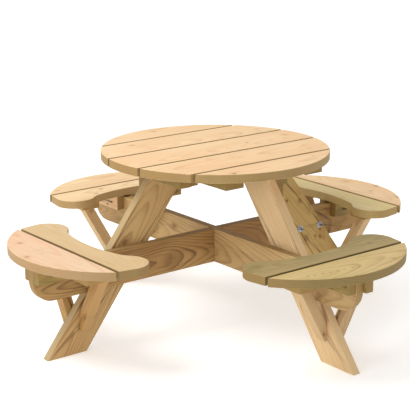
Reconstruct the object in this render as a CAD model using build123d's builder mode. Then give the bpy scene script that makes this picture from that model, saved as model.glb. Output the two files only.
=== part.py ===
"""Round eight-seat picnic table in planed softwood.

The origin is on the ground under the middle of the table and +Z is up.  The top boards
run along X.  Four sides, called left (-X), right (+X), front (-Y) and back (+Y), each
carry one leg and one two-board seat.  All lengths are millimetres.
"""
import os
from math import cos, radians, sin, tan

from build123d import *

os.makedirs("parts", exist_ok=True)

# Timber sections
board_width = 195
board_thickness = 35
leg_width = 145
leg_thickness = 35
beam_height = 145
beam_thickness = 35
batten_width = 90
batten_thickness = 35
bearer_height = 70
bearer_thickness = 35
brace_size = 45
cleat_height = 120
cleat_thickness = 35
eased_edge = 3
under_edge = 1.5

# Table top
top_height = 750
top_radius = 475
board_pitch = 208
top_under = top_height - board_thickness
batten_under = top_under - batten_thickness
long_batten_x = 207
long_batten_reach = 380
short_batten_x = 323
short_batten_reach = 240
centre_batten_reach = 300

# Legs, measured along a side: r is the distance out from the table axis
leg_lean = 52.7
leg_top_r = 218
foot_r = leg_top_r + batten_under / tan(radians(leg_lean))
leg_half_run = leg_width / sin(radians(leg_lean)) / 2
cleat_inner_r = {"left": 138, "right": 138, "front": 215, "back": 215}
cleat_outer_r = 328

# Crossed beams; the front end was cut shorter
beam_reach = {"left": 898, "right": 898, "front": 861, "back": 893}
beam_top = 405
beam_end_radius = 90
beam_mid = beam_top - beam_height / 2
lap_depth = beam_height / 2

# Seats
seat_height = 450
seat_under = seat_height - board_thickness
seat_gap_r = 739
seat_gap = 15
seat_outer_radius = 432
seat_outer_centre = 501
seat_half_chord = 355
seat_inner_radius = 639
lobe_radius = 87
lobe_t = 281
lobe_r = 652
lobe_blend = 100
lobe_web = 450
seat_batten_t = 207
seat_batten_inner = 639
seat_batten_outer = 808
seat_batten_under = seat_under - batten_thickness
bearer_inner = 655

# How far out bearers 1 and 2 of each side reach
bearer_outer = {"left": (893, 897), "right": (893, 893), "front": (856, 878), "back": (893, 893)}
bearer_under = seat_under - bearer_height

# Braces, two under each seat, leaning away from the leg
brace_lean = 30
brace_foot_z = 95
brace_heel_z = 166
open_brace_r = 652
leg_brace_r = 690
brace_run = tan(radians(brace_lean))
brace_across = brace_size / cos(radians(brace_lean))

# Fasteners
bolt_diameter = 10
bolt_head_width = 17
bolt_head_height = 6.5
nut_height = 8.5
washer_diameter = 29
washer_thickness = 2.5
bolt_tail = 5
bolt_rs = (441, 556)
bolt_z = 330
screw_diameter = 5
screw_head_diameter = 9
screw_head_height = 1.5
board_screw_length = 55
cleat_screw_length = 60
bearer_screw_length = 50
brace_screw_length = 60
cleat_screw_heights = (595, 650)
cleat_screw_shifts = (-28, 28)
bearer_screw_rs = (700, 840)
bearer_screw_z = 375
brace_screw_heights = (125, 150)
open_brace_screw_r = 640
leg_brace_screw_r = 682
seat_screw_rs = (720, 780)
batten_screw_shift = 25
board_screw_shift = 60
long_batten_end_screw = 350
short_batten_end_screw = 215

# Wider than any part, for the sketches that cut one to shape
beyond = 3 * top_radius

from_head = (Align.CENTER, Align.CENTER, Align.MIN)
half_beam = beam_thickness / 2
leg_outside = half_beam + leg_thickness
bolt_spots = [(r, bolt_z) for r in bolt_rs]

# name, outward direction, and the side of the beam the leg is bolted to
sides = [
    ("left", (-1, 0, 0), 1),
    ("right", (1, 0, 0), 1),
    ("front", (0, -1, 0), -1),
    ("back", (0, 1, 0), -1),
]


def upright(outward, offset=0):
    """Vertical plane through the table axis: x runs outward, y runs up."""
    across = Vector(*outward).cross(Vector(0, 0, 1))
    return Plane(origin=across * offset, x_dir=outward, z_dir=across)


def level(outward, height):
    """Horizontal plane with x running outward from the table axis."""
    return Plane(origin=(0, 0, height), x_dir=outward, z_dir=(0, 0, 1))


def crosswise(outward, r):
    """Vertical plane across a side at distance r: y runs up, z runs inward."""
    across = Vector(*outward).cross(Vector(0, 0, 1))
    return Plane(origin=Vector(*outward) * r, x_dir=across, z_dir=Vector(*outward) * -1)


def spot(origin, direction):
    """Place for a fastener: its z axis points along the direction it is driven."""
    return Plane(origin=origin, z_dir=direction)


def drill(places, length):
    """Screw holes in the part being built."""
    with Locations(*places):
        Cylinder(screw_diameter / 2, length, align=from_head, mode=Mode.SUBTRACT)


def save(piece, name):
    piece.part.label = name
    export_step(piece.part, f"parts/{name}.step")


def leg_r(z):
    """Distance of the leg's centre line from the table axis at height z."""
    return foot_r - z / tan(radians(leg_lean))


# Fastener places, each a plane whose origin is under the head
def batten_spots(x):
    """Screws up through the top batten at x into the boards."""
    inner_row = board_pitch - board_screw_shift
    rows = [inner_row, board_pitch + board_screw_shift]
    middle = [(x - batten_screw_shift, 0), (x + batten_screw_shift, 0)]
    if x == 0:
        middle = [(0, -board_screw_shift), (0, board_screw_shift)]
    if abs(x) == long_batten_x:
        rows.append(long_batten_end_screw)
    if abs(x) == short_batten_x:
        rows = [inner_row, short_batten_end_screw]
    places = middle + [(x, y) for y in rows] + [(x, -y) for y in rows]
    return [spot((*place, batten_under), (0, 0, 1)) for place in places]


batten_xs = [0, long_batten_x, -long_batten_x, short_batten_x, -short_batten_x]
board_spots = {x: batten_spots(x) for x in batten_xs}
all_board_spots = [place for places in board_spots.values() for place in places]


def seat_spots(outward, side_sign):
    """Screws up through one seat batten into the two seat boards."""
    plane = level(outward, seat_batten_under)
    return [
        spot(plane.from_local_coords((r, side_sign * (seat_batten_t + shift), 0)), (0, 0, 1))
        for r in seat_screw_rs
        for shift in (-batten_screw_shift, batten_screw_shift)
    ]


def cleat_spots(outward, leg_side):
    """Screws from the free face of a cleat into its leg."""
    plane = upright(outward)
    free_face = leg_side * (leg_outside + cleat_thickness)
    inward = plane.z_dir * -leg_side
    return [
        spot(plane.from_local_coords((leg_r(z) + shift, z, free_face)), inward)
        for z in cleat_screw_heights
        for shift in cleat_screw_shifts
    ]


def bearer_spots(outward, side_sign):
    """Screws from the free face of a bearer into the beam."""
    plane = upright(outward)
    free_face = side_sign * (half_beam + bearer_thickness)
    inward = plane.z_dir * -side_sign
    return [
        spot(plane.from_local_coords((r, bearer_screw_z, free_face)), inward)
        for r in bearer_screw_rs
    ]


def brace_places(leg_side):
    """The two braces of a side: name, distance out, contact offset and lean direction."""
    return [
        ("open", open_brace_r, leg_side * half_beam, -leg_side),
        ("leg", leg_brace_r, leg_side * leg_outside, leg_side),
    ]


def open_brace_spots(outward, leg_side):
    """Screws through the leg into the brace on its open side."""
    plane = upright(outward)
    inward = plane.z_dir * -leg_side
    return [
        spot(plane.from_local_coords((open_brace_screw_r, z, leg_side * leg_outside)), inward)
        for z in brace_screw_heights
    ]


def leg_brace_spots(outward, leg_side):
    """Screws square to the lower face of the outer brace, near its foot, into the leg."""
    plane = upright(outward)
    inward = plane.z_dir * (-leg_side * cos(radians(brace_lean)))
    places = []
    for z in brace_screw_heights:
        offset = leg_side * (leg_outside + brace_across - (brace_heel_z - z) * brace_run)
        origin = plane.from_local_coords((leg_brace_screw_r, z, offset))
        places.append(spot(origin, inward + Vector(0, 0, sin(radians(brace_lean)))))
    return places


def brace_spots(outward, leg_side):
    """Every brace screw of a side."""
    return open_brace_spots(outward, leg_side) + leg_brace_spots(outward, leg_side)


# Top boards, cut to the circle; board 1 is at the front and board 5 at the back
for number in range(5):
    board_y = (number - 2) * board_pitch
    with BuildPart() as board:
        with BuildSketch(Plane.XY.offset(top_under)):
            with Locations((0, board_y)):
                Rectangle(beyond, board_width)
            Circle(top_radius, mode=Mode.INTERSECT)
        extrude(amount=board_thickness)
        fillet(board.edges().group_by(Axis.Z)[-1], eased_edge)
        fillet(board.edges().group_by(Axis.Z)[0], under_edge)
        drill(all_board_spots, board_screw_length)
    save(board, f"top_board_{number + 1}")

# Battens under the top
batten_plan = [
    ("top_batten_centre", 0, board_width, centre_batten_reach),
    ("top_batten_long_left", -long_batten_x, batten_width, long_batten_reach),
    ("top_batten_long_right", long_batten_x, batten_width, long_batten_reach),
    ("top_batten_short_left", -short_batten_x, batten_width, short_batten_reach),
    ("top_batten_short_right", short_batten_x, batten_width, short_batten_reach),
]
for name, x, width, reach in batten_plan:
    with BuildPart() as batten:
        with BuildSketch(Plane.XY.offset(batten_under)):
            with Locations((x, 0)):
                Rectangle(width, 2 * reach)
        extrude(amount=batten_thickness)
        drill(board_spots[x], board_screw_length)
    save(batten, name)

# Beams, halved into each other at the middle
beam_plan = [("left", "right", (1, 0, 0), beam_top), ("front", "back", (0, 1, 0), beam_mid)]
for near, far, outward, lap_top in beam_plan:
    with BuildPart() as beam:
        with BuildSketch(upright(outward, -half_beam)) as profile:
            with Locations(((beam_reach[far] - beam_reach[near]) / 2, beam_mid)):
                Rectangle(beam_reach[near] + beam_reach[far], beam_height)
            fillet(profile.vertices().group_by(Axis.Y)[0], beam_end_radius)
            with Locations((0, lap_top - lap_depth / 2)):
                Rectangle(beam_thickness, lap_depth, mode=Mode.SUBTRACT)
            for r, z in bolt_spots:
                with Locations((r, z), (-r, z)):
                    Circle(bolt_diameter / 2, mode=Mode.SUBTRACT)
        extrude(amount=beam_thickness)
        ends = [Vector(*outward), Vector(*outward) * -1]
        for end in ends:
            for side_sign in (-1, 1):
                drill(bearer_spots(end, side_sign), bearer_screw_length)
    save(beam, f"beam_{near}_{far}")

# Each side: leg, cleat, seat boards, battens, bearers and braces
for side, outward, leg_side in sides:
    with BuildPart() as leg:
        with BuildSketch(upright(outward, leg_side * half_beam)):
            with BuildLine():
                Polyline(
                    (foot_r - leg_half_run, 0),
                    (foot_r + leg_half_run, 0),
                    (leg_top_r + leg_half_run, batten_under),
                    (leg_top_r - leg_half_run, batten_under),
                    close=True,
                )
            make_face()
            with Locations(*bolt_spots):
                Circle(bolt_diameter / 2, mode=Mode.SUBTRACT)
        extrude(amount=leg_side * leg_thickness)
        drill(cleat_spots(outward, leg_side), cleat_screw_length)
        drill(brace_spots(outward, leg_side), brace_screw_length)
    save(leg, f"leg_{side}")

    with BuildPart() as cleat:
        with BuildSketch(upright(outward, leg_side * leg_outside)):
            with Locations((cleat_outer_r, batten_under)):
                Rectangle(
                    cleat_outer_r - cleat_inner_r[side], cleat_height,
                    align=(Align.MAX, Align.MAX),
                )
        extrude(amount=leg_side * cleat_thickness)
        drill(cleat_spots(outward, leg_side), cleat_screw_length)
    save(cleat, f"cleat_{side}")

    seat_screws = seat_spots(outward, 1) + seat_spots(outward, -1)
    with BuildPart() as outer_board:
        with BuildSketch(level(outward, seat_under)):
            with Locations((seat_outer_centre, 0)):
                Circle(seat_outer_radius)
            with Locations((seat_gap_r + seat_gap / 2, 0)):
                Rectangle(
                    beyond, beyond,
                    align=(Align.MIN, Align.CENTER), mode=Mode.INTERSECT,
                )
        extrude(amount=board_thickness)
        fillet(outer_board.edges().group_by(Axis.Z)[-1], eased_edge)
        fillet(outer_board.edges().group_by(Axis.Z)[0], under_edge)
        drill(seat_screws, board_screw_length)
    save(outer_board, f"seat_{side}_outer_board")

    inner_edge_r = seat_gap_r - seat_gap / 2
    with BuildPart() as inner_board:
        with BuildSketch(level(outward, seat_under)) as plan:
            with BuildLine():
                Polyline(
                    (lobe_r, -lobe_t - lobe_radius),
                    (inner_edge_r, -seat_half_chord),
                    (inner_edge_r, seat_half_chord),
                    (lobe_r, lobe_t + lobe_radius),
                    close=True,
                )
            make_face()
            with Locations((lobe_r, 0)):
                Rectangle(2 * lobe_radius, lobe_web)
            Circle(seat_inner_radius, mode=Mode.SUBTRACT)
            with Locations((lobe_r, lobe_t), (lobe_r, -lobe_t)):
                Circle(lobe_radius)
            with Locations((inner_edge_r, 0)):
                Rectangle(
                    beyond, beyond,
                    align=(Align.MAX, Align.CENTER), mode=Mode.INTERSECT,
                )
            nooks = plan.vertices().filter_by_position(Axis.X, lobe_r - lobe_radius, lobe_r - 1)
            fillet(nooks, lobe_blend)
        extrude(amount=board_thickness)
        fillet(inner_board.edges().group_by(Axis.Z)[-1], eased_edge)
        fillet(inner_board.edges().group_by(Axis.Z)[0], under_edge)
        drill(seat_screws, board_screw_length)
    save(inner_board, f"seat_{side}_inner_board")

    for number, side_sign in ((1, 1), (2, -1)):
        batten_length = seat_batten_outer - seat_batten_inner
        with BuildPart() as seat_batten:
            with BuildSketch(level(outward, seat_batten_under)):
                with Locations((seat_batten_inner + batten_length / 2, side_sign * seat_batten_t)):
                    Rectangle(batten_length, batten_width)
            extrude(amount=batten_thickness)
            drill(seat_spots(outward, side_sign), board_screw_length)
        save(seat_batten, f"seat_{side}_batten_{number}")

        bearer_length = bearer_outer[side][number - 1] - bearer_inner
        with BuildPart() as bearer:
            with BuildSketch(upright(outward, side_sign * half_beam)):
                with Locations((bearer_inner + bearer_length / 2, seat_under - bearer_height / 2)):
                    Rectangle(bearer_length, bearer_height)
            extrude(amount=side_sign * bearer_thickness)
            drill(bearer_spots(outward, side_sign), bearer_screw_length)
        save(bearer, f"seat_{side}_bearer_{number}")

    for kind, r, contact, lean_side in brace_places(leg_side):
        foot_run = brace_across - (brace_heel_z - brace_foot_z) * brace_run
        head_z = seat_under if kind == "open" else seat_batten_under
        head_run = (head_z - brace_heel_z) * brace_run
        profile_points = [
            (0, brace_foot_z),
            (foot_run, brace_foot_z),
            (head_run + brace_across, head_z),
            (head_run, head_z),
            (0, brace_heel_z),
        ]
        if kind == "open":
            batten_face = seat_batten_t - batten_width / 2 + half_beam
            face_z = head_z - (head_run + brace_across - batten_face) / brace_run
            profile_points[2:3] = [(batten_face, face_z), (batten_face, head_z)]
        with BuildPart() as brace:
            with BuildSketch(crosswise(outward, r + brace_size / 2)):
                with BuildLine():
                    Polyline(
                        *[(contact + lean_side * x, z) for x, z in profile_points],
                        close=True,
                    )
                make_face()
            extrude(amount=brace_size)
            drill(brace_spots(outward, leg_side), brace_screw_length)
        save(brace, f"brace_{side}_{kind}_side")

# Bolts through each leg and its beam: head on the beam, nut on the leg
head_places = []
nut_places = []
for _, outward, leg_side in sides:
    plane = upright(outward)
    for r, z in bolt_spots:
        head_face = plane.from_local_coords((r, z, -leg_side * half_beam))
        nut_face = plane.from_local_coords((r, z, leg_side * leg_outside))
        head_places.append(spot(head_face, plane.z_dir * leg_side))
        nut_places.append(spot(nut_face, plane.z_dir * leg_side))
washer_places = [place.offset(-washer_thickness) for place in head_places] + nut_places
bolt_seats = [place.offset(-washer_thickness) for place in head_places]
nut_seats = [place.offset(washer_thickness) for place in nut_places]
shank_length = beam_thickness + leg_thickness + 2 * washer_thickness + nut_height + bolt_tail

with BuildPart() as bolts:
    with Locations(*bolt_seats):
        Cylinder(bolt_diameter / 2, shank_length, align=from_head)
    with BuildSketch(*bolt_seats):
        RegularPolygon(bolt_head_width / 2, 6, major_radius=False)
    extrude(amount=-bolt_head_height)
save(bolts, "leg_bolts")

with BuildPart() as washers:
    with BuildSketch(*washer_places):
        Circle(washer_diameter / 2)
        Circle(bolt_diameter / 2, mode=Mode.SUBTRACT)
    extrude(amount=washer_thickness)
save(washers, "leg_bolt_washers")

with BuildPart() as nuts:
    with BuildSketch(*nut_seats):
        RegularPolygon(bolt_head_width / 2, 6, major_radius=False)
        Circle(bolt_diameter / 2, mode=Mode.SUBTRACT)
    extrude(amount=nut_height)
save(nuts, "leg_bolt_nuts")

# Screws, flat under the head; every head stays proud of the timber
screw_plan = {
    "top_screws": (all_board_spots, board_screw_length),
    "seat_screws": ([], board_screw_length),
    "cleat_screws": ([], cleat_screw_length),
    "bearer_screws": ([], bearer_screw_length),
    "brace_screws": ([], brace_screw_length),
}
for _, outward, leg_side in sides:
    screw_plan["cleat_screws"][0].extend(cleat_spots(outward, leg_side))
    for side_sign in (-1, 1):
        screw_plan["seat_screws"][0].extend(seat_spots(outward, side_sign))
        screw_plan["bearer_screws"][0].extend(bearer_spots(outward, side_sign))
    screw_plan["brace_screws"][0].extend(brace_spots(outward, leg_side))

for name, (places, length) in screw_plan.items():
    with BuildPart() as screws:
        with Locations(*places):
            Cylinder(screw_diameter / 2, length, align=from_head)
        with BuildSketch(*places):
            Circle(screw_head_diameter / 2)
        extrude(amount=-screw_head_height)
    save(screws, name)
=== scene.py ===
"""Looks of the round picnic table: pressure-treated pine boards and zinc-plated fasteners.

The wood is procedural. Each timber has its own material, which works in the timber's own
axes: x runs along the grain, y across the wide face and z through the thickness.
"""
import itertools
import math
import random

import bpy
from mathutils import Matrix, Vector


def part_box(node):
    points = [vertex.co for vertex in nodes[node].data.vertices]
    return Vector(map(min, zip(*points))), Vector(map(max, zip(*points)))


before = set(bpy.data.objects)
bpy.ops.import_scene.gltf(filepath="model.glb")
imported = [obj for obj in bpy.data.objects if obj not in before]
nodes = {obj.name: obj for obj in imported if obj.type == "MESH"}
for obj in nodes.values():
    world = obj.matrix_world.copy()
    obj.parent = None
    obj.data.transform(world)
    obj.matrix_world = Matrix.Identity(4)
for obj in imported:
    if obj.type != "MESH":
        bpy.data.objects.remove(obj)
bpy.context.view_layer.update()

UP = Vector((0, 0, 1))
OUTWARD = {
    "left": Vector((-1, 0, 0)),
    "right": Vector((1, 0, 0)),
    "front": Vector((0, -1, 0)),
    "back": Vector((0, 1, 0)),
}
LEG_LEAN = math.radians(52.7)
BRACE_LEAN = math.radians(30)
WELD_REACH = 0.00001
EASE_WIDTH = 0.0018
EASE_ANGLE = math.radians(35)


# ---------------------------------------------------------------- node wiring


class Wiring:
    """Adds nodes to one node tree. An input given as a socket is linked, any other is set."""

    def __init__(self, tree):
        self.tree = tree
        self.tree.nodes.clear()

    def add(self, kind, inputs=None, **settings):
        node = self.tree.nodes.new(kind)
        for name, value in settings.items():
            setattr(node, name, value)
        for key, value in (inputs or {}).items():
            if isinstance(value, bpy.types.NodeSocket):
                self.tree.links.new(value, node.inputs[key])
            else:
                node.inputs[key].default_value = value
        return node

    def math(self, operation, *values):
        node = self.add("ShaderNodeMath", dict(enumerate(values)), operation=operation)
        return node.outputs[0]

    def scaled(self, vector, scale):
        inputs = {0: vector, 1: scale}
        return self.add("ShaderNodeVectorMath", inputs, operation="MULTIPLY").outputs[0]

    def noise(self, vector, seed, scale, detail=2.0, roughness=0.5):
        inputs = {
            "Vector": vector, "W": seed, "Scale": scale, "Detail": detail, "Roughness": roughness,
        }
        return self.add("ShaderNodeTexNoise", inputs, noise_dimensions="4D").outputs[0]

    def ramp(self, value, low, high, to_low=0.0, to_high=1.0):
        inputs = {0: value, 1: low, 2: high, 3: to_low, 4: to_high}
        node = self.add("ShaderNodeMapRange", inputs, interpolation_type="SMOOTHSTEP")
        return node.outputs[0]

    def mix(self, factor, first, second, blend="MIX"):
        inputs = {"Factor": factor, 6: first, 7: second}
        node = self.add("ShaderNodeMix", inputs, data_type="RGBA", blend_type=blend)
        return node.outputs[2]

    def split(self, vector):
        return self.add("ShaderNodeSeparateXYZ", {0: vector}).outputs

    def join(self, x, y, z):
        return self.add("ShaderNodeCombineXYZ", {0: x, 1: y, 2: z}).outputs[0]


def new_group(name, inputs, outputs):
    """An empty node group with float sockets, apart from those named Vector."""
    tree = bpy.data.node_groups.new(name, "ShaderNodeTree")
    for in_out, names in (("INPUT", inputs), ("OUTPUT", outputs)):
        for socket in names:
            kind = "NodeSocketVector" if socket == "Vector" else "NodeSocketFloat"
            tree.interface.new_socket(socket, in_out=in_out, socket_type=kind)
    wiring = Wiring(tree)
    return tree, wiring, wiring.add("NodeGroupInput").outputs


def knot_group():
    """One knot: the fibres run round it, its mask covers the middle and its halo fades out around it."""
    inputs = ("Vector", "X", "Y", "Radius", "Seed")
    tree, w, given = new_group("knot", inputs, ("Vector", "Mask", "Halo"))
    x, y, z = w.split(given["Vector"])
    wobble = w.noise(given["Vector"], given["Seed"], 45.0)
    away_x = w.math("SUBTRACT", x, given["X"])
    away_y = w.math("SUBTRACT", y, given["Y"])
    shift = w.math("MULTIPLY", w.math("SUBTRACT", wobble, 0.5), given["Radius"])
    near_x = w.math("DIVIDE", w.math("ADD", away_x, shift), given["Radius"])
    near_y = w.math("DIVIDE", w.math("ADD", away_y, shift), given["Radius"])
    flat_x = w.math("MULTIPLY", near_x, 0.8)
    distance = w.math("SQRT", w.math("ADD", w.math("POWER", flat_x, 2.0), w.math("POWER", near_y, 2.0)))
    long_x = w.math("MULTIPLY", near_x, 0.35)
    wide_y = w.math("MULTIPLY", near_y, 0.5)
    reach = w.math("ADD", w.math("POWER", long_x, 2.0), w.math("POWER", wide_y, 2.0))
    bulge = w.math("EXPONENT", w.math("MULTIPLY", reach, -1.0))
    pull = w.math("MULTIPLY", w.math("MULTIPLY", away_y, bulge), -0.8)
    moved = w.join(x, w.math("ADD", y, pull), z)
    mask = w.ramp(distance, 0.75, 1.0, 1.0, 0.0)
    halo = w.ramp(distance, 0.9, 2.6, 1.0, 0.0)
    w.add("NodeGroupOutput", {"Vector": moved, "Mask": mask, "Halo": halo})
    return tree


def grain_group():
    """Growth rings cut by the sawn faces, with the fine fibres and the slow colour drift."""
    inputs = ("Vector", "Seed", "Spacing", "Pith Y", "Pith Z", "Taper", "Waviness")
    outputs = ("Ring", "Drift", "Blotch", "Fibre", "Line", "Streak")
    tree, w, given = new_group("grain", inputs, outputs)
    here, seed = given["Vector"], given["Seed"]
    x, y, z = w.split(here)
    slow = w.scaled(here, (2.2, 6.0, 6.0))
    wander = w.math("SUBTRACT", w.noise(slow, seed, 1.0, 1.0), 0.5)
    sway = w.math("MULTIPLY", wander, given["Waviness"])
    lean = w.math("MULTIPLY", x, given["Taper"])
    off_y = w.math("SUBTRACT", w.math("ADD", y, sway), given["Pith Y"])
    off_z = w.math("SUBTRACT", w.math("ADD", z, w.math("ADD", sway, lean)), given["Pith Z"])
    radius = w.math("SQRT", w.math("ADD", w.math("POWER", off_y, 2.0), w.math("POWER", off_z, 2.0)))
    ripple = w.noise(w.scaled(here, (9.0, 40.0, 40.0)), seed, 1.0, 3.0)
    age = w.math("ADD", w.math("DIVIDE", radius, given["Spacing"]), w.math("MULTIPLY", ripple, 0.45))
    phase = w.math("FRACT", age)
    rise = w.math("POWER", w.ramp(phase, 0.25, 0.9), 1.6)
    fall = w.ramp(phase, 0.92, 1.0, 1.0, 0.0)
    year = w.math("FLOOR", age)
    strength = w.add("ShaderNodeTexWhiteNoise", {"W": year}, noise_dimensions="1D").outputs[0]
    fade = w.noise(w.scaled(here, (4.0, 28.0, 28.0)), w.math("ADD", seed, 51.0), 1.0, 3.0, 0.6)
    vigour = w.math("MULTIPLY", w.ramp(strength, 0.0, 1.0, 0.4, 1.0), w.ramp(fade, 0.3, 0.62, 0.35, 1.0))
    ring = w.math("MULTIPLY", w.math("MULTIPLY", rise, fall), vigour)
    drift = w.noise(w.scaled(here, (1.6, 5.0, 5.0)), w.math("ADD", seed, 11.0), 1.0, 2.0)
    blotch = w.noise(w.scaled(here, (7.0, 16.0, 16.0)), w.math("ADD", seed, 23.0), 1.0, 3.0, 0.6)
    fibre = w.noise(w.scaled(here, (26.0, 520.0, 520.0)), seed, 1.0, 3.0, 0.65)
    line = w.noise(w.scaled(here, (5.0, 150.0, 150.0)), w.math("ADD", seed, 5.0), 1.0, 2.0)
    streak = w.noise(w.scaled(here, (2.5, 34.0, 34.0)), w.math("ADD", seed, 37.0), 1.0, 2.0)
    found = {"Ring": ring, "Drift": drift, "Blotch": blotch, "Fibre": fibre, "Line": line, "Streak": streak}
    w.add("NodeGroupOutput", found)
    return tree


KNOT = knot_group()
GRAIN = grain_group()


# ---------------------------------------------------------------- materials


def srgb(red, green, blue):
    """Linear colour with alpha, from the 0 to 255 values of a paint chart."""
    linear = [((c / 255 + 0.055) / 1.055) ** 2.4 for c in (red, green, blue)]
    return (*linear, 1.0)


# Tones: pale is the early wood, late the dark lines, tint the slow drift, and the side colour is painted
# shade on the sawn sides, darker than the face in most tones
TONES = {
    "peach": dict(
        pale=(232, 202, 159), late=(200, 152, 100), tint=(228, 190, 146), side_shade=(124, 100, 38),
    ),
    "blush": dict(
        pale=(234, 206, 162), late=(202, 156, 104), tint=(230, 194, 150), side_shade=(152, 124, 68),
    ),
    "rose": dict(
        pale=(222, 194, 160), late=(202, 152, 110), tint=(224, 184, 150), side_shade=(134, 104, 48),
    ),
    "honey": dict(
        pale=(212, 186, 144), late=(178, 142, 94), tint=(206, 176, 130), side_shade=(110, 87, 38),
    ),
    "straw": dict(
        pale=(204, 178, 124), late=(156, 124, 72), tint=(192, 170, 112), side_shade=(100, 78, 28),
        contrast=0.65,
    ),
    "cream": dict(
        pale=(222, 200, 148), late=(184, 154, 98), tint=(210, 190, 134), side_shade=(168, 140, 80),
    ),
    "sage": dict(
        pale=(168, 146, 100), late=(124, 102, 62), tint=(150, 134, 88), side_shade=(102, 82, 36),
        contrast=0.7,
    ),
    "tan": dict(
        pale=(200, 166, 112), late=(142, 100, 54), tint=(188, 150, 98), side_shade=(178, 160, 122),
        contrast=0.75,
    ),
    "olive": dict(
        pale=(200, 168, 106), late=(156, 116, 62), tint=(184, 152, 90), side_shade=(150, 124, 70),
        contrast=0.6, stain=0.35,
    ),
    "russet": dict(
        pale=(180, 143, 88), late=(92, 57, 27), tint=(150, 109, 60), side_shade=(146, 120, 76),
        contrast=0.85,
    ),
    "clay": dict(
        pale=(198, 168, 117), late=(130, 91, 51), tint=(180, 145, 93), side_shade=(150, 124, 80),
        contrast=0.7,
    ),
    "fawn": dict(
        pale=(222, 192, 146), late=(176, 138, 90), tint=(214, 178, 132), side_shade=(222, 192, 146),
        contrast=0.7,
    ),
    "amber": dict(
        pale=(186, 147, 92), late=(134, 98, 50), tint=(172, 132, 78), side_shade=(186, 147, 92),
        contrast=0.7,
    ),
    "sand": dict(
        pale=(200, 170, 126), late=(150, 118, 74), tint=(190, 156, 112), side_shade=(200, 170, 126),
        contrast=0.7,
    ),
    "ochre": dict(
        pale=(196, 158, 96), late=(148, 112, 60), tint=(182, 146, 84), side_shade=(150, 124, 70),
        contrast=0.7, stain=0.3,
    ),
    # A dark tone, painted shade, for the timbers under the top and the seats
    "shaded_moss": dict(
        pale=(172, 146, 86), late=(118, 90, 46), tint=(150, 130, 70), side_shade=(124, 106, 56),
        contrast=0.7, stain=0.35,
    ),
}
KNOT_RED = srgb(128, 66, 30)
KNOT_DARK = srgb(72, 38, 20)
GREEN_STAIN = srgb(122, 118, 66)
END_GRAIN = srgb(150, 118, 66)
SCUFF = srgb(90, 88, 86)

# How strongly each layer shows, from 0 to 1, and the depth of the relief in metres
USUAL_CONTRAST = 0.55
USUAL_STAIN = 0.35
# Share of the side colour, painted shade, on faces turned away from the wide face
SIDE_SHADE_TINT = 0.72
END_TINT = 0.55
PORE_TINT = 0.22
KNOT_TINT = 0.85
WOOD_ROUGHNESS = 0.56
WOOD_RELIEF = 0.0012
METAL_RELIEF = 0.0003


def local_axes(long, face):
    """Rotation from the row frame to a timber's own axes."""
    x = long.normalized()
    z = face.normalized()
    y = z.cross(x)
    return Matrix((x, y, z))


def timber_axes(name):
    """The grain direction and the wide face's normal of a timber."""
    if name.startswith("top_board") or name == "beam_left_right":
        return Vector((1, 0, 0)), UP if name.startswith("top") else Vector((0, 1, 0))
    if name.startswith("top_batten"):
        return Vector((0, 1, 0)), UP
    if name == "beam_front_back":
        return Vector((0, 1, 0)), Vector((1, 0, 0))
    side = next(s for s in OUTWARD if f"_{s}" in name)
    outward = OUTWARD[side]
    across = outward.cross(UP)
    if name.startswith("leg"):
        return outward * math.cos(LEG_LEAN) - UP * math.sin(LEG_LEAN), across
    if name.startswith("brace"):
        low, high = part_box(name)
        middle = (low + high) / 2
        lean = 1 if middle.dot(across) > 0 else -1
        return across * lean * math.sin(BRACE_LEAN) + UP * math.cos(BRACE_LEAN), outward
    if name.endswith("board"):
        return across, UP
    if "batten" in name:
        return outward, UP
    return outward, across


def board_space(w, name):
    """Positions in the timber's own axes, from the middle of its box."""
    low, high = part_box(name)
    turn = local_axes(*timber_axes(name))
    inputs = {
        "Vector": w.add("ShaderNodeTexCoord").outputs["Object"],
        "Location": -(turn @ ((low + high) / 2)),
        "Rotation": turn.to_euler(),
    }
    return w.add("ShaderNodeMapping", inputs).outputs[0]


def board_normal(w, name):
    """The surface normal's x, y and z in the timber's own axes."""
    inputs = {
        "Vector": w.add("ShaderNodeTexCoord").outputs["Normal"],
        "Rotation": local_axes(*timber_axes(name)).to_euler(),
    }
    return w.split(w.add("ShaderNodeMapping", inputs, vector_type="NORMAL").outputs[0])


def add_knots(w, here, knots, rng):
    """Bend the space round each knot, and gather the knots' masks and halos."""
    knot_mask, halo = 0.0, 0.0
    for x, y, radius, darkness in knots:
        inputs = {"Vector": here, "X": x, "Y": y, "Radius": radius, "Seed": rng.uniform(0, 9)}
        knot = w.add("ShaderNodeGroup", inputs, node_tree=KNOT)
        here = knot.outputs["Vector"]
        knot_mask = w.math("MAXIMUM", w.math("MULTIPLY", knot.outputs["Mask"], darkness), knot_mask)
        halo = w.math("MAXIMUM", knot.outputs["Halo"], halo)
    return here, knot_mask, halo


def add_grain(w, here, name, seed, rng):
    """The grain of one timber, at random except where GRAIN_OF gives it."""
    inputs = {
        "Vector": here,
        "Seed": seed,
        "Spacing": rng.uniform(0.0055, 0.0095),
        "Pith Y": rng.uniform(-0.05, 0.05),
        "Pith Z": -rng.uniform(0.05, 0.11),
        "Taper": rng.uniform(-0.08, 0.08),
        "Waviness": rng.uniform(0.02, 0.05),
    }
    inputs.update(GRAIN_OF.get(name, {}))
    return w.add("ShaderNodeGroup", inputs, node_tree=GRAIN).outputs


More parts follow.
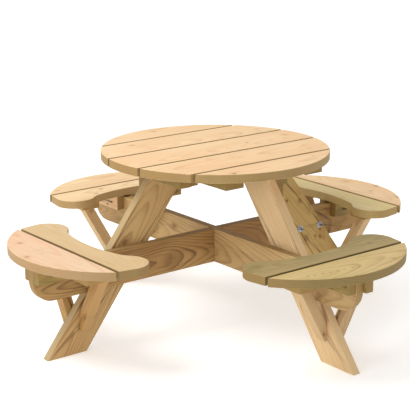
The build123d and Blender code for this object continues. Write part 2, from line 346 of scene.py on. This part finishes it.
def timber_colour(w, name, tone, grain, knot_mask, halo):
    """The face colour, then the sides darkened with painted shade, the end grain, the pores and the knots.
    """
    pale, late = srgb(*tone["pale"]), srgb(*tone["late"])
    tint, side_shade = srgb(*tone["tint"]), srgb(*tone["side_shade"])
    stain = w.ramp(grain["Blotch"], 0.55, 0.82, 0.0, tone.get("stain", USUAL_STAIN))
    ring = w.math("MULTIPLY", grain["Ring"], tone.get("contrast", USUAL_CONTRAST))
    normal_x, _, normal_z = board_normal(w, name)
    # Painted shade: the sides, and the gaps between boards, take the darker side colour
    side_shade_mask = w.ramp(w.math("ABSOLUTE", normal_z), 0.3, 0.9, SIDE_SHADE_TINT, 0.0)
    end_mask = w.ramp(w.math("ABSOLUTE", normal_x), 0.55, 1.0, 0.0, END_TINT)
    pores = w.math("MULTIPLY", w.ramp(grain["Fibre"], 0.50, 0.78), PORE_TINT)
    heart = w.mix(w.ramp(grain["Fibre"], 0.35, 0.7), KNOT_DARK, KNOT_RED)

    colour = w.mix(w.ramp(grain["Drift"], 0.35, 0.68), pale, tint)
    colour = w.mix(w.ramp(grain["Streak"], 0.45, 0.75, 0.0, 0.35), colour, tint)
    colour = w.mix(ring, colour, late)
    colour = w.mix(w.math("MULTIPLY", halo, 0.35), colour, late)
    colour = w.mix(w.ramp(grain["Line"], 0.52, 0.8, 0.0, 0.4), colour, late)
    colour = w.mix(stain, colour, GREEN_STAIN)
    # Painted shade laid on the sides
    colour = w.mix(side_shade_mask, colour, side_shade)
    colour = w.mix(end_mask, colour, END_GRAIN)
    colour = w.mix(pores, colour, late)
    return w.mix(w.math("MULTIPLY", knot_mask, KNOT_TINT), colour, heart)


def timber_bump(w, grain, knot_mask):
    """Raised late wood and fibres, with the knots slightly sunk."""
    fibre = w.math("MULTIPLY", grain["Fibre"], 0.35)
    height = w.math("ADD", fibre, w.math("MULTIPLY", grain["Ring"], 0.45))
    height = w.math("ADD", height, w.math("MULTIPLY", grain["Line"], 0.3))
    height = w.math("SUBTRACT", height, w.math("MULTIPLY", knot_mask, 0.4))
    inputs = {"Strength": 0.35, "Distance": WOOD_RELIEF, "Height": height}
    return w.add("ShaderNodeBump", inputs).outputs[0]


def timber_roughness(w, grain, knot_mask):
    """Dull wood, smoother on the late rings and the knots."""
    blotch = w.math("MULTIPLY", grain["Blotch"], 0.22)
    rough = w.math("ADD", blotch, w.math("MULTIPLY", grain["Ring"], -0.10))
    rough = w.math("SUBTRACT", rough, w.math("MULTIPLY", knot_mask, 0.18))
    return w.math("ADD", rough, WOOD_ROUGHNESS)


def timber_material(name, tone, knots, rng):
    """Pine for one timber. Knots are (along, across, radius, darkness) from its middle."""
    material = bpy.data.materials.new(f"pine_{name}")
    material.use_nodes = True
    w = Wiring(material.node_tree)
    seed = rng.uniform(0, 90)
    here, knot_mask, halo = add_knots(w, board_space(w, name), knots, rng)
    grain = add_grain(w, here, name, seed, rng)
    surface = w.add("ShaderNodeBsdfPrincipled", {
        "Base Color": timber_colour(w, name, tone, grain, knot_mask, halo),
        "Roughness": timber_roughness(w, grain, knot_mask),
        "Specular IOR Level": 0.35,
        "Normal": timber_bump(w, grain, knot_mask),
    })
    w.add("ShaderNodeOutputMaterial", {"Surface": surface.outputs[0]})
    return material


def metal_material(name, dark, light, bloom_colour, metallic, dull):
    """Plated steel: a blotchy coat, flecks where it is scuffed, and a pale bloom."""
    material = bpy.data.materials.new(name)
    material.use_nodes = True
    w = Wiring(material.node_tree)
    place = w.add("ShaderNodeTexCoord").outputs["Object"]
    cloud = w.noise(place, 3.0, 170.0, 3.0, 0.6)
    fleck = w.noise(place, 8.0, 900.0, 2.0)
    bloom = w.noise(place, 15.0, 60.0, 3.0, 0.65)
    colour = w.mix(w.ramp(cloud, 0.35, 0.68), srgb(*dark), srgb(*light))
    colour = w.mix(w.ramp(bloom, 0.5, 0.72, 0.0, 0.6), colour, srgb(*bloom_colour))
    colour = w.mix(w.ramp(fleck, 0.62, 0.78, 0.0, 0.5), colour, SCUFF)
    rough = w.math("ADD", w.math("MULTIPLY", cloud, 0.3), dull)
    bump = w.add("ShaderNodeBump", {"Strength": 0.25, "Distance": METAL_RELIEF, "Height": fleck})
    surface = w.add("ShaderNodeBsdfPrincipled", {
        "Base Color": colour,
        "Metallic": metallic,
        "Roughness": rough,
        "Normal": bump.outputs[0],
    })
    w.add("ShaderNodeOutputMaterial", {"Surface": surface.outputs[0]})
    return material


# ---------------------------------------------------------------- the timbers

TONE_OF = {
    "top_board": "peach",
    "seat_left_outer": "rose",
    "seat_left_inner": "honey",
    "seat_front_outer": "straw",
    "seat_front_inner": "sage",
    "seat_right_outer": "peach",
    "seat_right_inner": "cream",
    "seat_back": "blush",
    "beam_left_right": "russet",
    "beam_front_back": "clay",
    "leg_right": "olive",
    "leg_back": "olive",
    "leg_front": "fawn",
    "brace_left": "amber",
    "brace": "sand",
    # The timbers under the top and the seats take the dark tone as painted shade
    "top_batten": "shaded_moss",
    "batten": "ochre",
    "bearer": "shaded_moss",
    "cleat": "shaded_moss",
}
# Where the pith runs, for timbers whose grain shows plainly
GRAIN_OF = {
    "beam_left_right": {
        "Pith Y": 0.02, "Pith Z": 0.07, "Taper": -0.15, "Spacing": 0.010, "Waviness": 0.05,
    },
    "beam_front_back": {
        "Pith Y": -0.03, "Pith Z": 0.09, "Taper": 0.10, "Spacing": 0.009, "Waviness": 0.06,
    },
    "leg_left": {"Pith Y": 0.03, "Pith Z": 0.06, "Taper": 0.06, "Spacing": 0.009, "Waviness": 0.05},
    "leg_front": {"Pith Y": 0.10, "Pith Z": -0.05, "Taper": 0.01, "Spacing": 0.007, "Waviness": 0.02},
}

# Chosen knots by timber: along, across and radius in metres, and darkness. The rest are random
KNOTS = {
    "top_board_1": [(-0.227, -0.003, 0.0065, 0.7), (0.21, 0.03, 0.005, 0.12)],
    "top_board_2": [(-0.159, 0.05, 0.008, 0.08), (0.30, -0.04, 0.006, 0.1)],
    "top_board_3": [(0.166, -0.008, 0.0055, 0.75), (0.395, 0.01, 0.011, 0.15)],
    "top_board_4": [(-0.249, 0.039, 0.010, 0.3), (0.38, -0.03, 0.006, 0.1)],
    "top_board_5": [(-0.011, 0.022, 0.010, 0.22)],
    "seat_left_outer_board": [(0.179, 0.001, 0.009, 0.45), (0.007, 0.067, 0.0105, 0.4)],
    "seat_left_inner_board": [(-0.20, -0.05, 0.005, 0.15)],
    "seat_front_inner_board": [(0.303, -0.02, 0.012, 0.05), (-0.24, 0.02, 0.006, 0.3)],
    "seat_front_outer_board": [
        (0.227, -0.02, 0.004, 0.6), (0.2, -0.012, 0.0035, 0.6), (0.165, -0.006, 0.004, 0.6),
        (0.135, 0.0, 0.003, 0.6), (0.10, 0.004, 0.004, 0.6), (0.07, 0.006, 0.003, 0.6),
        (0.03, 0.01, 0.0035, 0.6), (0.0, 0.012, 0.003, 0.6), (-0.17, 0.03, 0.006, 0.2),
    ],
    "seat_right_outer_board": [
        (0.052, 0.075, 0.009, 0.75), (0.254, 0.005, 0.009, 0.5),
        (0.10, -0.01, 0.007, 0.4), (-0.099, 0.03, 0.014, 0.12),
    ],
    "seat_right_inner_board": [(0.10, 0.0, 0.006, 0.15)],
    "leg_left": [(-0.077, 0.028, 0.012, 0.6), (0.30, 0.02, 0.006, 0.2)],
    "leg_right": [
        (-0.22, -0.032, 0.006, 0.9), (-0.177, -0.015, 0.007, 0.9), (-0.121, 0.038, 0.011, 0.45),
        (0.046, -0.036, 0.016, 0.45), (0.082, 0.006, 0.007, 0.75), (0.105, 0.027, 0.007, 0.75),
        (0.077, 0.047, 0.009, 0.6),
    ],
    "leg_front": [(0.20, -0.03, 0.006, 0.15)],
    "brace_left_open_side": [(-0.11, -0.004, 0.008, 0.35)],
    "brace_front_open_side": [(-0.148, 0.002, 0.006, 0.6)],
    "beam_left_right": [(-0.242, 0.021, 0.020, 0.0), (-0.38, 0.03, 0.012, 0.35), (0.3, 0.0, 0.012, 0.5)],
    "beam_front_back": [(-0.30, -0.03, 0.007, 0.5), (0.25, 0.02, 0.012, 0.5)],
}


def random_knots(name, rng):
    """A few knots at random places inside a timber's box."""
    low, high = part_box(name)
    turn = local_axes(*timber_axes(name))
    corners = [Vector(c) for c in itertools.product(*zip(low, high))]
    local = [turn @ (c - (low + high) / 2) for c in corners]
    half_x = max(p.x for p in local)
    half_y = min(max(p.y for p in local), 0.09)
    count = 1 + int(half_x * 2 / 0.45)
    return [
        (
            rng.uniform(-0.85, 0.85) * half_x,
            rng.uniform(-0.8, 0.8) * half_y,
            rng.uniform(0.004, 0.009),
            rng.uniform(0.3, 0.9),
        )
        for _ in range(count)
    ]


def ease_edges(piece):
    """Round the sharp edges of a sawn timber a little."""
    weld = piece.modifiers.new("weld", "WELD")
    weld.merge_threshold = WELD_REACH
    ease = piece.modifiers.new("eased edges", "BEVEL")
    ease.width = EASE_WIDTH
    ease.segments = 2
    ease.limit_method = "ANGLE"
    ease.angle_limit = EASE_ANGLE
    ease.use_clamp_overlap = False
    ease.harden_normals = True


def dress(name, piece, metals, rng):
    """Give one piece its material. The boards have eased edges already."""
    piece.data.materials.clear()
    metal = next((m for word, m in metals.items() if word in name), None)
    if metal:
        piece.data.materials.append(metal)
        return
    tone = TONES[next((t for part, t in TONE_OF.items() if part in name), "tan")]
    knots = KNOTS.get(name) or random_knots(name, rng)
    piece.data.materials.append(timber_material(name, tone, knots, rng))
    if not name.endswith("board") and not name.startswith("top_board"):
        ease_edges(piece)


METALS = {
    "nuts": metal_material("zinc_nut", (150, 156, 168), (190, 196, 206), (212, 214, 218), 0.4, 0.35),
    "washers": metal_material("zinc_washer", (168, 174, 184), (206, 211, 220), (224, 226, 228), 0.35, 0.35),
    "bolt": metal_material("zinc_bolt", (70, 76, 92), (104, 110, 126), (130, 134, 142), 0.7, 0.3),
    "screws": metal_material("coated_screw", (104, 84, 46), (134, 110, 66), (126, 116, 78), 0.3, 0.45),
}
rng = random.Random(11)
for name in sorted(nodes):
    dress(name, nodes[name], METALS, rng)


# ---------------------------------------------------------------- studio

CAMERA_PLACE = Vector((-3.153, -3.932, 1.877))
CAMERA_TARGET = Vector((-0.0335, 0.0264, 0.502))
CAMERA_LENS = 109.0
CAMERA_REACH = 200
FLOOR_REACH = 60.0
FLOOR_GREY = 0.88
FLOOR_GLOW = 0.34
WORLD_STRENGTH = 0.78
WHITE = (1, 1, 1, 1)


def soft_light(name, place, target, size, power, colour):
    light = bpy.data.lights.new(name, "AREA")
    light.shape = "DISK"
    light.size = size
    light.energy = power
    light.color = colour
    lamp = bpy.data.objects.new(name, light)
    lamp.location = place
    lamp.rotation_euler = (Vector(target) - Vector(place)).to_track_quat("-Z", "Y").to_euler()
    bpy.context.scene.collection.objects.link(lamp)


def make_floor():
    mesh = bpy.data.meshes.new("floor")
    signs = ((-1, -1), (1, -1), (1, 1), (-1, 1))
    corners = [(x * FLOOR_REACH, y * FLOOR_REACH, 0) for x, y in signs]
    mesh.from_pydata(corners, [], [(0, 1, 2, 3)])
    floor = bpy.data.objects.new("floor", mesh)
    bpy.context.scene.collection.objects.link(floor)
    material = bpy.data.materials.new("floor")
    material.use_nodes = True
    surface = material.node_tree.nodes["Principled BSDF"]
    surface.inputs["Base Color"].default_value = (FLOOR_GREY, FLOOR_GREY, FLOOR_GREY, 1)
    surface.inputs["Roughness"].default_value = 0.9
    surface.inputs["Emission Color"].default_value = WHITE
    surface.inputs["Emission Strength"].default_value = FLOOR_GLOW
    mesh.materials.append(material)


def make_world():
    world = bpy.data.worlds.new("studio")
    world.use_nodes = True
    backdrop = world.node_tree.nodes["Background"]
    backdrop.inputs["Color"].default_value = WHITE
    backdrop.inputs["Strength"].default_value = WORLD_STRENGTH
    bpy.context.scene.world = world


make_floor()
make_world()
soft_light("key", (-2.6, 0.6, 4.4), (0, 0, 0.5), 2.5, 120, (1.0, 0.99, 0.97))
soft_light("side", (-5.0, -0.4, 1.8), (0, 0, 0.4), 2.0, 35, (1.0, 1.0, 1.0))

camera_data = bpy.data.cameras.new("camera")
camera_data.lens = CAMERA_LENS
camera_data.clip_end = CAMERA_REACH
camera = bpy.data.objects.new("camera", camera_data)
camera.location = CAMERA_PLACE
camera.rotation_euler = (CAMERA_TARGET - CAMERA_PLACE).to_track_quat("-Z", "Y").to_euler()
bpy.context.scene.collection.objects.link(camera)
bpy.context.scene.camera = camera
bpy.context.scene.view_settings.view_transform = "Standard"
